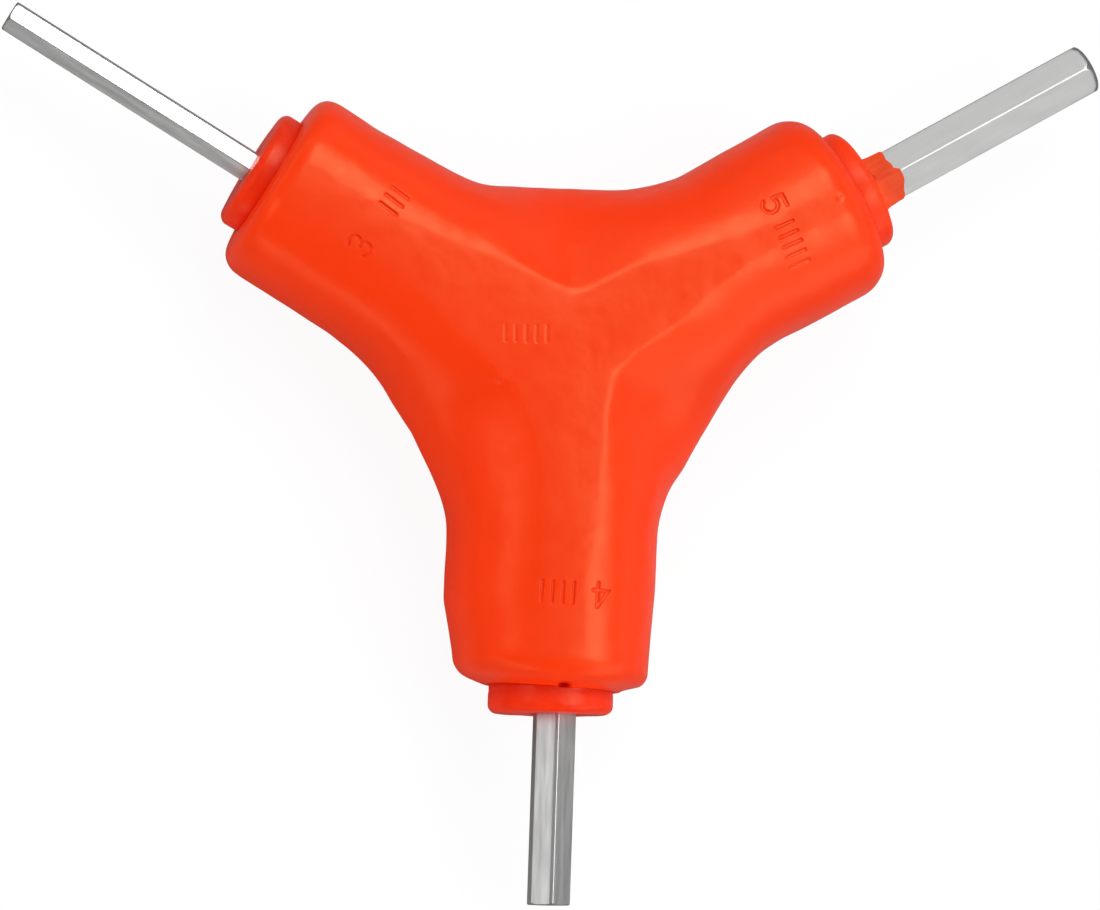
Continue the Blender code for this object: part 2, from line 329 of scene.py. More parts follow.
def hub_outline():
    """Side outline from the crotch ray to the end of the crotch blend."""
    slope = math.tan(ARM_DRAFT)
    side_at_hub = ARM_END_RADIUS + ARM_LENGTH * slope
    rise = CROTCH_DISTANCE * (math.sin(HALF_SECTOR) + slope * math.cos(HALF_SECTOR))
    crossing = (rise - side_at_hub) / (math.cos(HALF_SECTOR) - slope * math.sin(HALF_SECTOR))
    turn = math.radians(90) - HALF_SECTOR - ARM_DRAFT
    radius = min(CROTCH_RADIUS, crossing / math.tan(turn / 2))
    flat = crossing - radius * math.tan(turn / 2)
    points = [from_ray(CROTCH_DISTANCE, flat * i / HUB_ROWS) for i in range(HUB_ROWS)]
    for i in range(ARC_ROWS + 1):
        angle = turn * i / ARC_ROWS
        forward = CROTCH_DISTANCE + radius * (1 - math.cos(angle))
        points.append(from_ray(forward, flat + radius * math.sin(angle)))
    return points


def moved_outline(point, ray, side):
    """Outline point shifted by what the crotch's own outline stands off the plain one."""
    station, offset = point
    along = station * math.sin(HALF_SECTOR) - offset * math.cos(HALF_SECTOR)
    shift = np.interp(-side * along, *zip(*CROTCHES[ray]["outline"]))
    lean = SHIFT_LEAN * (1 - smooth_step(abs(along), *SHIFT_FADE))
    return station + shift * math.sin(lean), offset + shift * math.cos(lean)


def row_points(crest, side, axis, height, slope):
    """Points of a row from the arm axis over the crest edge down to the outline."""
    crown = CROWN * math.hypot(crest[0] - axis, crest[1])
    points = []
    for i in range(CREST_COLUMNS):
        share = i / CREST_COLUMNS
        level = height - crown * share**2
        points.append((axis + (crest[0] - axis) * share, crest[1] * share, level))
    for i in range(FLANK_COLUMNS + 1):
        share = math.sin(math.radians(90) * i / FLANK_COLUMNS)
        station = crest[0] + (side[0] - crest[0]) * share
        offset = crest[1] + (side[1] - crest[1]) * share
        left = max(0, 1 - slope * share - (1 - slope) * share * share)
        points.append((station, offset, (height - crown) * math.sqrt(left)))
    return np.array(points)


def hub_rows(crest, ray, side):
    """Rows from the crotch ray to the end of the crotch blend."""
    outline = hub_outline()
    start, blend_end = crest[0][0], outline[-1][0]
    rows = []
    for i, point in enumerate(outline):
        share = i / (len(outline) - 1)
        station = start + (blend_end - start) * share
        edge = (station, np.interp(station, *crest))
        slope = CREST_SLOPE + (HUB_SLOPE - CREST_SLOPE) * (1 - share) ** HUB_SLOPE_FADE
        point = moved_outline(point, ray, side)
        rows.append(row_points(edge, point, blend_end * share, MID, slope))
    return rows


def side_rows(arm, crest, ray, side, rounding):
    """Rows along an arm, from the crotch blend to where its end starts to round."""
    blend_end = hub_outline()[-1][0]
    short, slant = arm["end"]
    rows = []
    for i in range(1, SIDE_ROWS + 1):
        share = i / SIDE_ROWS
        station = blend_end + (ARM_LENGTH - blend_end) * share
        height = MID + (ARM_END_RADIUS - MID) * share
        slope = CREST_SLOPE + (CREST_END_SLOPE - CREST_SLOPE) * share
        edge = (station, np.interp(station, *crest))
        point = moved_outline((station, side_half_width(station)), ray, side)
        row = row_points(edge, (station, point[1]), station, height, slope)
        row[:, 0] -= (rounding + arm["dome"] + short + slant * side * row[:, 1]) * share
        rows.append(row)
    return rows


def end_rows(arm, side, last, rounding):
    """Rows round an arm's edge, over its domed end and into the seat of the collar."""
    span = np.hypot(last[:, 1], last[:, 2])
    across, upward = last[:, 1] / span, last[:, 2] / span
    steps = [math.radians(90) * i / EDGE_ROWS for i in range(1, EDGE_ROWS + 1)]
    places = [
        (span - rounding * (1 - math.cos(t)), rounding * (1 - math.sin(t))) for t in steps
    ]
    seat = COLLAR_RADIUS + SEAT_GAP
    face, mouth = span - rounding, seat + MOUTH_EDGE
    for i in range(1, FACE_ROWS + 1):
        places.append((face + (mouth - face) * i / FACE_ROWS, 0))
    turned = MOUTH_ROUND * MOUTH_EDGE
    places += [(seat + turned, turned), (seat, MOUTH_EDGE), (seat, SEAT_DEPTH * MOUTH_ROW)]
    places += [(seat, SEAT_DEPTH), (seat / 2, SEAT_DEPTH)]
    short, slant = arm["end"]
    rows = []
    for radius, depth in places:
        fall = arm["dome"] * np.clip((radius - seat) / (ARM_END_RADIUS - seat), 0, 1)
        fall -= LIP_HEIGHT * np.exp(-(((radius - seat - LIP_PLACE) / LIP_WIDTH) ** 2))
        fall += short + slant * side * across * radius
        rows.append(np.stack((ARM_LENGTH - depth - fall, across * radius, upward * radius), 1))
    return rows


def arm_grid(arm, side):
    """Rows of points over a quarter of an arm, from the crotch ray into the seat."""
    ray = (arm["angle"] + 60 * side) % 360
    corner = CROTCHES[ray]["corner"]
    start = (corner * math.cos(HALF_SECTOR), corner * math.sin(HALF_SECTOR))
    crest = list(zip(start, *arm["crest"][side]))
    edge = (ARM_LENGTH, crest[1][-1])
    point = moved_outline((ARM_LENGTH, ARM_END_RADIUS), ray, side)
    last = row_points(edge, (ARM_LENGTH, point[1]), ARM_LENGTH, ARM_END_RADIUS, CREST_END_SLOPE)
    across = last[:, 1] / np.hypot(last[:, 1], last[:, 2])
    middle, plus, minus = arm["edge"]
    rounding = middle + ((plus if side > 0 else minus) - middle) * across**2
    rows = hub_rows(crest, ray, side) + side_rows(arm, crest, ray, side, rounding)
    return rows + end_rows(arm, side, last, rounding)


def skin_mesh():
    """Plain closed mesh of the whole skin, front and back alike."""
    form = bmesh.new()
    for arm in ARMS.values():
        turn = Matrix.Rotation(math.radians(arm["angle"]), 4, "Z")
        for side in (1, -1):
            grid = arm_grid(arm, side)
            for face in (1, -1):
                verts = [
                    [form.verts.new(turn @ Vector((s, side * o, face * h))) for s, o, h in row]
                    for row in grid
                ]
                for low, high in zip(verts, verts[1:]):
                    for j in range(len(low) - 1):
                        form.faces.new((low[j], low[j + 1], high[j + 1], high[j]))
    bmesh.ops.remove_doubles(form, verts=form.verts, dist=WELD_DISTANCE)
    bmesh.ops.holes_fill(form, edges=[e for e in form.edges if e.is_boundary], sides=0)
    bmesh.ops.recalc_face_normals(form, faces=form.faces)
    return finished_mesh("grip_skin", form)


# Points and meshes

def finished_mesh(name, form):
    mesh = bpy.data.meshes.new(name)
    form.to_mesh(mesh)
    form.free()
    return mesh


def mesh_arrays(mesh):
    """Points of a mesh, and the two point numbers of each edge."""
    points = np.empty(len(mesh.vertices) * 3)
    mesh.vertices.foreach_get("co", points)
    edges = np.empty(len(mesh.edges) * 2, int)
    mesh.edges.foreach_get("vertices", edges)
    return points.reshape(-1, 3), edges.reshape(-1, 2)


def mesh_normals(mesh):
    normals = np.empty(len(mesh.vertices) * 3)
    mesh.vertex_normals.foreach_get("vector", normals)
    return normals.reshape(-1, 3)


def put_points(mesh, points):
    mesh.vertices.foreach_set("co", points.ravel())
    mesh.update()


def relax(points, edges, weight, rounds):
    """Moves each point towards the middle of its neighbours, by its weight."""
    count = np.bincount(edges.ravel(), minlength=len(points))[:, None]
    for _ in range(rounds):
        total = np.zeros_like(points)
        np.add.at(total, edges[:, 0], points[edges[:, 1]])
        np.add.at(total, edges[:, 1], points[edges[:, 0]])
        points = points + weight[:, None] * 0.5 * (total / count - points)
    return points


def arm_coordinates(points, angle):
    """Stations and offsets of points for a direction in degrees."""
    turn = math.radians(angle)
    station = points[:, 0] * math.cos(turn) + points[:, 1] * math.sin(turn)
    offset = -points[:, 0] * math.sin(turn) + points[:, 1] * math.cos(turn)
    return station, offset


def add_object(name, data):
    made = bpy.data.objects.new(name, data)
    bpy.context.scene.collection.objects.link(made)
    return made


def add_piece(name, mesh, smooth=True):
    piece = add_object(name, mesh)
    for polygon in mesh.polygons:
        polygon.use_smooth = smooth
    return piece


def arm_matrix(arm):
    """Places a shape made in metres along +Z, with +Y on top, on its arm."""
    turn = Matrix.Rotation(math.radians(arm["angle"]), 4, "Z")
    lay = Matrix(((0, 0, 1, 0), (1, 0, 0, 0), (0, 1, 0, 0), (0, 0, 0, 1)))
    return Matrix.Translation((0, 0, MID * MM)) @ turn @ lay


def arm_piece(name, arm, rings, joined=False):
    """Piece on an arm through rings of points in millimetres: capped, or a loop."""
    form = bmesh.new()
    verts = [[form.verts.new(Vector(p) * MM) for p in ring] for ring in rings]
    following = verts[1:] + (verts[:1] if joined else [])
    for low, high in zip(verts, following):
        for j in range(len(low)):
            k = (j + 1) % len(low)
            form.faces.new((low[j], low[k], high[k], high[j]))
    if not joined:
        form.faces.new(list(reversed(verts[0])))
        form.faces.new(verts[-1])
    bmesh.ops.recalc_face_normals(form, faces=form.faces)
    piece = add_piece(name, finished_mesh(name, form))
    piece.matrix_world = arm_matrix(arm)
    return piece


# Marks on the skin

def arc(middle, radii, start, end, steps=16):
    """Points of an elliptic arc between two angles in degrees."""
    turns = [math.radians(start + (end - start) * i / steps) for i in range(steps + 1)]
    return [
        (middle[0] + radii[0] * math.cos(t), middle[1] + radii[1] * math.sin(t)) for t in turns
    ]


def numeral(size):
    """Stroke of a plain numeral, two units tall and centred on the origin."""
    if size == "3mm":
        return arc((0, 0.48), (0.52, 0.52), 150, -90) + arc((0, -0.5), (0.58, 0.5), 90, -150)
    if size == "4mm":
        return [(0.3, -1), (0.3, 1), (-0.66, -0.38), (0.7, -0.38)]
    return [(0.55, 1), (-0.45, 1), (-0.52, 0.16)] + arc((0, -0.33), (0.62, 0.66), 130, -145)


def size_mark(size, arm):
    """Strokes cut into one arm, in arm coordinates: its numeral, then as many ribs."""
    start, end = Vector(arm["mark"][:2]), Vector(arm["mark"][2:])
    along = (end - start).normalized()
    up = Vector((-along.y, along.x))
    half = NUMERAL_HEIGHT / 2
    strokes = [[start + half * (x * along + y * up) for x, y in numeral(size)]]
    count = int(size[0])
    for i in range(count):
        foot = end - RIB_PITCH * (count - 1 - i) * along
        strokes.append([foot - RIB_HEIGHT / 2 * up, foot + RIB_HEIGHT / 2 * up])
    return strokes


def hub_mark():
    """Faint plain ribs on the hub, standing across the picture."""
    middle = Vector(HUB_RIBS["middle"])
    half = Vector((0, HUB_RIBS["height"] / 2))
    strokes = []
    for i in range(HUB_RIBS["count"]):
        foot = middle + Vector((HUB_RIBS["pitch"] * (i - (HUB_RIBS["count"] - 1) / 2), 0))
        strokes.append([foot - half, foot + half])
    return strokes


def marks():
    """Every mark as its arm angle, strokes and depth."""
    made = [(arm["angle"], size_mark(size, arm), STROKE_DEPTH) for size, arm in ARMS.items()]
    return made + [(0, hub_mark(), HUB_RIBS["depth"])]


def stroke_distance(places, stroke):
    """Distance of each place from the nearest point of a line through a stroke."""
    nearest = np.full(len(places), np.inf)
    for start, end in zip(stroke, stroke[1:]):
        start, step = np.array(start), np.array(end) - np.array(start)
        share = np.clip((places - start) @ step / (step @ step), 0, 1)
        gap = np.linalg.norm(places - start - share[:, None] * step, axis=1)
        nearest = np.minimum(nearest, gap)
    return nearest


def mark_reach(points, angle, strokes, margin):
    """Points on the front that lie in the box round a mark's strokes."""
    station, offset = arm_coordinates(points, angle)
    corners = np.array([p for stroke in strokes for p in stroke])
    low, high = corners.min(0) - margin, corners.max(0) + margin
    inside = (station > low[0]) & (station < high[0]) & (offset > low[1]) & (offset < high[1])
    return inside & (points[:, 2] > 0)


def fine_reach(points, margin):
    """Points near a mark or a spot, where the faces are finer."""
    places = [(angle, strokes) for angle, strokes, depth in marks()]
    for size, station, offset, radius, height in SPOTS:
        corners = [(station - radius, offset - radius), (station + radius, offset + radius)]
        places.append((ARMS[size]["angle"], [corners]))
    return np.any([mark_reach(points, *place, margin) for place in places], 0)


def refine(mesh):
    """Finer faces on the front where the marks and spots are."""
    form = bmesh.new()
    form.from_mesh(mesh)
    centres = np.array([face.calc_center_median() for face in form.faces])
    chosen = fine_reach(centres, MARK_MARGIN)
    edges = {edge for face, wanted in zip(form.faces, chosen) if wanted for edge in face.edges}
    bmesh.ops.subdivide_edges(form, edges=list(edges), cuts=MARK_CUTS, use_grid_fill=True)
    form.to_mesh(mesh)
    form.free()


# Skin

def seat_share(points):
    """One at the arm ends, where the skin keeps its true shape, and nought elsewhere."""
    start, full = ARM_LENGTH - SEAT_FADE[0], ARM_LENGTH - SEAT_FADE[1]
    seat = np.zeros(len(points))
    for arm in ARMS.values():
        station, offset = arm_coordinates(points, arm["angle"])
        seat = np.maximum(seat, smooth_step(station, start, full))
    return seat


def valley_share(points):
    """Growing along each crotch from the corner of the flat; nought on flat and outline."""
    valley = np.zeros(len(points))
    for ray, crotch in CROTCHES.items():
        forward, sideways = arm_coordinates(points, ray)
        beyond = forward - crotch["corner"] - VALLEY_SPREAD * abs(sideways)
        growth = np.clip(beyond / VALLEY_LENGTH, 0, 1) ** 2
        valley = np.maximum(valley, growth * (1 - smooth_step(abs(sideways), *VALLEY_SIDES)))
    return valley * smooth_step(abs(points[:, 2]), *VALLEY_RIM)


def round_skin(mesh):
    """Rounds the edges of the flat, the valleys in the crotches and the finer faces."""
    points, edges = mesh_arrays(mesh)
    away = smooth_step(np.hypot(points[:, 0], points[:, 1]), *RIDGE_FADE)
    softness = RIDGE_SOFTNESS + (1 - RIDGE_SOFTNESS) * away
    points = relax(points, edges, softness * (1 - seat_share(points)), RIDGE_ROUNDS)
    points = relax(points, edges, valley_share(points), VALLEY_ROUNDS)
    put_points(mesh, points)
    refine(mesh)
    points, edges = mesh_arrays(mesh)
    fine = fine_reach(points, SMOOTH_MARGIN).astype(float)
    put_points(mesh, relax(points, edges, fine, MARK_ROUNDS))


def surface_wave(place):
    """Slow unevenness of the moulded skin, as it shrank on the core."""
    return sum(
        height * noise.noise(place / size + Vector(shift)) for size, height, shift in SKIN_WAVES
    )


def skin_lift(points):
    """How far the points stand off: unevenness, parting line, spots and cut marks."""
    free = 1 - seat_share(points)
    lift = np.array([surface_wave(Vector(p)) for p in points]) * free
    lift += PARTING_LINE * (abs(points[:, 2]) < PARTING_HALF_WIDTH) * free
    for size, station, offset, radius, height in SPOTS:
        along, across = arm_coordinates(points, ARMS[size]["angle"])
        reach = np.hypot(along - station, across - offset) / radius
        lift += height * np.exp(-(reach**2)) * (points[:, 2] > 0)
    low, high = (share * STROKE_WIDTH / 2 for share in STROKE_EDGE)
    for angle, strokes, depth in marks():
        inside = mark_reach(points, angle, strokes, MARK_MARGIN)
        places = np.stack(arm_coordinates(points[inside], angle), 1)
        gap = np.min([stroke_distance(places, stroke) for stroke in strokes], 0)
        lift[inside] -= depth * (1 - smooth_step(gap, low, high))
    return lift


def grip_skin():
    mesh = skin_mesh()
    round_skin(mesh)
    points, edges = mesh_arrays(mesh)
    points = points + mesh_normals(mesh) * skin_lift(points)[:, None]
    put_points(mesh, (points + np.array((0, 0, MID))) * MM)
    return add_piece("grip_skin", mesh)


def cut_pit(pieces):
    """Short pit where the skin didn't fill at the seam of the 4 mm collar."""
    form = bmesh.new()
    bmesh.ops.create_icosphere(form, subdivisions=4, radius=MM)
    cutter = add_object("pit", finished_mesh("pit", form))
    place = Matrix.Translation(Vector(PIT_PLACE) * MM)
    cutter.matrix_world = place @ Matrix.Diagonal((*PIT_RADII, 1))
    for piece in pieces:
        cut = piece.modifiers.new("pit", "BOOLEAN")
        cut.operation = "DIFFERENCE"
        cut.solver = "EXACT"
        cut.object = cutter
        bpy.context.view_layer.update()
        state = bpy.context.evaluated_depsgraph_get()
        made = bpy.data.meshes.new_from_object(piece.evaluated_get(state))
        piece.modifiers.clear()
        form = bmesh.new()
        form.from_mesh(made)
        bmesh.ops.dissolve_degenerate(form, dist=SHORTEST_EDGE * MM, edges=form.edges)
        form.to_mesh(made)
        form.free()
        piece.data = made
    bpy.data.objects.remove(cutter)


# Collars, sheath and keys

def direction(turn):
    """Unit vector across an arm, at a turn in radians."""
    return Vector((math.sin(turn), math.cos(turn)))


def hex_radius(angle, flats):
    """Distance from the axis to the side of a hexagon with a corner at angle 0."""
    turned = (angle % (math.pi / 3)) - math.pi / 6
    return flats / 2 / math.cos(turned)


def key_shift(arm, station):
    """How far a key's middle lies off the arm's axis."""
    start, end = arm["lean"]
    return start + (end - start) * (station - COLLAR_FACE) / (arm["reach"] - COLLAR_FACE)


def collar_profile():
    """Radius and station of each ring from inside the seat to the rounded front edge."""
    groove = COLLAR_RADIUS - SEAM_GROOVE
    profile = [(groove, ARM_LENGTH - SEAT_DEPTH + COLLAR_ROOT)]
    for rise, share in SEAM_STEPS:
        profile.append((groove + share * SEAM_GROOVE, ARM_LENGTH + rise))
    for i in range(COLLAR_EDGE_ROWS + 1):
        turn = math.radians(90) * i / COLLAR_EDGE_ROWS
        radius = COLLAR_RADIUS - COLLAR_EDGE * (1 - math.cos(turn))
        profile.append((radius, COLLAR_FACE - COLLAR_EDGE * (1 - math.sin(turn))))
    return profile


def collar(size, arm):
    """Boss round a key; the rings of its face turn from round to the shape of the key."""
    flats = 2 * (arm["flats"] / 2 - BORE_PRESS)
    start = COLLAR_RADIUS - COLLAR_EDGE
    rows = [(radius, station, 0) for radius, station in collar_profile()]
    rows += [(start, COLLAR_FACE, share) for share in FACE_SHARES]
    rows.append((start, COLLAR_FACE - BORE_DEPTH, 1))
    rings = []
    for radius, station, share in rows:
        ring = []
        for j in range(COLLAR_SIDES):
            angle = 2 * math.pi * j / COLLAR_SIDES
            hole = hex_radius(angle - math.radians(arm["roll"]), flats)
            across = radius + (hole - radius) * share
            spot = Vector((across * math.sin(angle), across * math.cos(angle), station))
            spot.x += key_shift(arm, station) * share
            place = spot / COLLAR_WAVE["size"] + Vector((arm["angle"], 0, 0))
            ring.append(spot + COLLAR_WAVE["height"] * noise.noise_vector(place))
        rings.append(ring)
    return arm_piece("collar_boss_" + size, arm, rings)


def sheath_spot(arm, angle, i):
    """Turn, radius and station of a point of the sheath's i-th row."""
    degrees = math.degrees(angle) - (360 if angle > math.pi else 0)
    spot = Vector((SHEATH_RADIUS * math.cos(angle), SHEATH_RADIUS * math.sin(angle), 0))
    ragged = SHEATH_END["change"] * noise.noise(spot * SHEATH_END["scale"])
    end = np.interp(degrees, *zip(*arm["sheath"])) + ragged
    share = min(1, i / SHEATH_ROWS)
    root = COLLAR_FACE - SHEATH_ROOT
    station = root + (end - root) * share
    scale = SHEATH_STREAK["across"]
    place = Vector((spot.x * scale, spot.y * scale, station * SHEATH_STREAK["along"]))
    streak = noise.noise(place)
    foot = math.exp(-max(0, station - COLLAR_FACE) / SHEATH_FOOT["length"])
    wall = SHEATH_WALL + SHEATH_STREAK["change"] * streak + SHEATH_FOOT["wall"] * foot
    around = math.radians(degrees - PINHOLE["turn"]) * arm["flats"] * SHEATH_REACH
    reach = math.hypot(around, station - PINHOLE["station"]) / PINHOLE["radius"]
    wall = max(SHEATH_LEAST, wall - PINHOLE["depth"] * math.exp(-(reach**2)))
    inner = hex_radius(angle, arm["flats"] + SHEATH_PLAY)
    past = max(0, i - SHEATH_ROWS) / SHEATH_END_ROWS
    rounded = SHEATH_END["round"] * math.sin(math.radians(90) * past)
    station += rounded + SHEATH_STREAK["end"] * streak * share
    return angle, inner + wall * math.sqrt(max(0, 1 - past**2)), station


def sheath(size, arm):
    """Ragged plastic left round the key in front of its collar, streaked lengthwise."""
    angles = [2 * math.pi * j / SHEATH_SIDES for j in range(SHEATH_SIDES)]
    rows = range(SHEATH_ROWS + SHEATH_END_ROWS + 1)
    spots = [[sheath_spot(arm, angle, i) for angle in angles] for i in rows]
    root = COLLAR_FACE - SHEATH_ROOT
    flats = arm["flats"] + SHEATH_PLAY
    spots.append([(angle, hex_radius(angle, flats), root) for angle in angles])
    shift = key_shift(arm, COLLAR_FACE)
    rings = [
        [
            (radius * math.sin(angle) + shift, radius * math.cos(angle), station)
            for angle, radius, station in row
        ]
        for row in spots
    ]
    return arm_piece("sheath_" + size, arm, rings, joined=True)


def hex_section(flats, fillet):
    """Points round a hexagon with a corner at angle 0 and rounded edges."""
    centre = (flats / 2 - fillet) / math.cos(math.radians(30))
    points = []
    for k in range(6):
        corner = math.radians(60 * k)
        for i in range(FILLET_STEPS + 1):
            turn = corner + math.radians(-30 + 60 / FILLET_STEPS * i)
            points.append(direction(corner) * centre + fillet * direction(turn))
        following = direction(corner + math.radians(60)) * centre
        start = points[-1]
        end = following + fillet * direction(corner + math.radians(30))
        points += [start.lerp(end, share) for share in SIDE_SHARES]
    return points


def dressed(point, flats, turn, depth):
    """Point brought down to a flat on the edge near the front."""
    normal = direction(math.radians(turn))
    over = point.dot(normal) - (flats / math.sqrt(3) * normal.y - depth)
    return point - max(0, over) * normal


def hex_key(size, arm):
    """Hex bar with a rounded tip; each row is held within a limit round its axis."""
    length, depth = arm["tip"]
    corner = arm["flats"] / math.sqrt(3)
    straight = arm["reach"] - length - KEY_START
    rows = [(KEY_START + straight * i / KEY_ROWS, corner) for i in range(KEY_ROWS + 1)]
    for i in range(1, TIP_ROWS + 1):
        turn = math.radians(90 / TIP_ROWS * i)
        station = arm["reach"] - length * (1 - math.sin(turn))
        rows.append((station, corner - depth * (1 - math.cos(turn))))
    section = hex_section(arm["flats"], arm["fillet"])
    if "worn" in arm:
        section = [dressed(point, arm["flats"], *arm["worn"]) for point in section]
    turned = Matrix.Rotation(-math.radians(arm["roll"]), 2)
    section = [turned @ point for point in section]
    rings = []
    for station, limit in rows:
        shift = Vector((key_shift(arm, station), 0))
        rings.append([(*(p * min(1, limit / p.length) + shift), station) for p in section])
    return arm_piece("hex_key_" + size, arm, rings)


# Shader nodes

def ranged(nodes, links, value, low, high, out_low, out_high, kind="LINEAR"):
    """Value from one range brought to another, held at its ends."""
    made = nodes.new("ShaderNodeMapRange")
    made.interpolation_type = kind
    limits = {"From Min": low, "From Max": high, "To Min": out_low, "To Max": out_high}
    for name, number in limits.items():
        made.inputs[name].default_value = number
    links.new(value, made.inputs["Value"])
    return made.outputs[0]


def calculated(nodes, links, operation, *values):
    """Maths node on sockets or plain numbers."""
    made = nodes.new("ShaderNodeMath")
    made.operation = operation
    for socket, value in zip(made.inputs, values):
        if isinstance(value, (int, float)):
            socket.default_value = value
        else:
            links.new(value, socket)
    return made.outputs[0]


def object_height(nodes, links):
    """Place along the piece's own Z."""
    place = nodes.new("ShaderNodeTexCoord")
    split = nodes.new("ShaderNodeSeparateXYZ")
    links.new(place.outputs["Object"], split.inputs[0])
    return split.outputs["Z"]


def grain(nodes, links, size, stretch, detail, seed):
    """Noise fixed in the piece; size in millimetres, stretched along the piece's Z."""
    place = nodes.new("ShaderNodeTexCoord")
    scaled = nodes.new("ShaderNodeMapping")
    scaled.inputs["Location"].default_value = (seed, seed, seed)
    scale = 1 / (size * MM)
    scaled.inputs["Scale"].default_value = (scale, scale, scale / stretch)
    links.new(place.outputs["Object"], scaled.inputs["Vector"])
    made = nodes.new("ShaderNodeTexNoise")
    made.inputs["Scale"].default_value = 1
    made.inputs["Detail"].default_value = detail
    links.new(scaled.outputs["Vector"], made.inputs["Vector"])
    return made.outputs["Fac"]


def tone_socket(nodes, links, tones, grains, foot):
    """Colour mixed from a dark and a light tone by noise; painted shade at a collar's foot."""
    low, high, detail, seed = TONE_NOISE.values()
    mixed = 0.0
    for i, (size, share, stretch) in enumerate(grains):
        patches = grain(nodes, links, size, stretch, detail, seed * i)
        part = ranged(nodes, links, patches, low, high, 0, share)
        # Painted shade: darker towards the foot, in the corner where the collar meets the skin.
        mixed = calculated(nodes, links, "ADD", part, mixed)
    if foot:
        height = object_height(nodes, links)
        full = ranged(nodes, links, height, foot[0] * MM, foot[1] * MM, 0, 1)
        mixed = calculated(nodes, links, "MULTIPLY", mixed, full)
    ramp = nodes.new("ShaderNodeValToRGB")
    for element, tone in zip(ramp.color_ramp.elements, tones):
        element.color = (*tone, 1)
    links.new(mixed, ramp.inputs["Fac"])
    return ramp.outputs["Color"]


def bump_socket(nodes, links, bumps):
    """Normal from the sum of several noises, with heights in millimetres."""
    detail, seed = BUMP_NOISE.values()
    height = 0.0
    for i, (size, rise, stretch) in enumerate(bumps):
        bumpy = grain(nodes, links, size, stretch, detail, seed * i)
        part = calculated(nodes, links, "MULTIPLY", bumpy, rise)
        height = calculated(nodes, links, "ADD", part, height)
    bump = nodes.new("ShaderNodeBump")
    bump.inputs["Strength"].default_value = 1
    bump.inputs["Distance"].default_value = MM
    links.new(height, bump.inputs["Height"])
    return bump.outputs["Normal"]


def surface(name, tones, tone_grains, roughness, rough_grain, bumps, fixed, foot=None):
    """Material with its colour, roughness and relief from noise at real sizes.

    tones: dark and light colour. tone_grains: (size, share, stretch) of each noise that
    mixes them. roughness: lowest and highest. rough_grain: (size, stretch).
    bumps: (size, height, stretch) in millimetres. fixed: constant shader inputs.
    foot: stations between which the painted shade at a collar's foot runs out.
    """
    material = bpy.data.materials.new(name)
    material.use_nodes = True
    nodes, links = material.node_tree.nodes, material.node_tree.links
    shader = nodes["Principled BSDF"]
    for key, value in fixed.items():
        shader.inputs[key].default_value = value
    links.new(tone_socket(nodes, links, tones, tone_grains, foot), shader.inputs["Base Color"])
    low, high, detail, seed = ROUGH_NOISE.values()
    patches = grain(nodes, links, *rough_grain, detail, seed)
    rough = ranged(nodes, links, patches, low, high, *roughness)
    links.new(rough, shader.inputs["Roughness"])
    links.new(bump_socket(nodes, links, bumps), shader.inputs["Normal"])
    return material


# Materials

def grip_material():
    return surface(
        "grip_orange",
        tones=((0.95, 0.0376, 0.0022), (0.99, 0.0409, 0.0042)),
        tone_grains=((9, 0.7, 1), (1.8, 0.3, 1)),
        roughness=(0.29, 0.38),
        rough_grain=(1.8, 1),
        bumps=((0.3, 0.002, 1), (1.4, 0.04, 1), (3.5, 0.06, 1)),
        fixed={"Specular IOR Level": 0.5, "Specular Tint": (1, 0.89, 0.4, 1)},
    )


def collar_material(size):
    return surface(
        "collar_orange_shaded_" + size,
        # The tones per arm hold painted shade: darker on the 3 mm and 4 mm collars.
        tones=COLLAR_TONES_WITH_SHADE[size],
        tone_grains=((3, 0.7, 1), (0.8, 0.5, 1)),
        roughness=(0.29, 0.42),
        rough_grain=(1.2, 1),
        bumps=((0.3, 0.004, 1), (1.2, 0.05, 1)),
        fixed={"Specular IOR Level": 0.35, "Specular Tint": (1, 0.9, 0.62, 1)},
        # Painted shade: the collar's foot is darker in the corner against the skin.
        foot=(ARM_LENGTH, ARM_LENGTH + SHADED_FOOT_HEIGHT),
    )


def sheath_material():
    return surface(
        "sheath_orange",
        tones=((0.7, 0.05, 0.008), (0.87, 0.088, 0.017)),
        tone_grains=((0.6, 0.6, 5), (1.4, 0.4, 1)),
        roughness=(0.4, 0.65),
        rough_grain=(0.6, 3),
        bumps=((0.25, 0.012, 6), (0.8, 0.06, 3)),
        fixed={"Specular IOR Level": 0.25},
    )


def core_material():
    return surface(
        "core_dark_red",
        tones=((0.32, 0.012, 0.004), (0.42, 0.02, 0.006)),
        tone_grains=((4, 0.6, 1), (0.9, 0.4, 1)),
        roughness=(0.45, 0.65),
        rough_grain=(1.5, 1),
        bumps=((0.3, 0.01, 1), (1.5, 0.04, 1)),
        fixed={"Specular IOR Level": 0.4},
    )


def steel_material(size):
    return surface(
        "steel_" + size,
        tones=((0.7, 0.7, 0.695), (0.77, 0.77, 0.765)),
        tone_grains=((0.35, 0.6, 14), (2.5, 0.4, 2)),
        roughness=(0.32, 0.42),
        rough_grain=(0.5, 10),
        bumps=((0.12, 0.0006, 30), (0.6, 0.002, 6)),
        fixed={"Metallic": 1.0},
    )


# Studio

def shown_share(nodes, links, in_gloss):
    """How far a ray takes the pale background: all of it to the camera, less in gloss."""
    path = nodes.new("ShaderNodeLightPath")
    gloss = calculated(nodes, links, "MULTIPLY", path.outputs["Is Glossy Ray"], in_gloss)
    return calculated(nodes, links, "ADD", path.outputs["Is Camera Ray"], gloss)


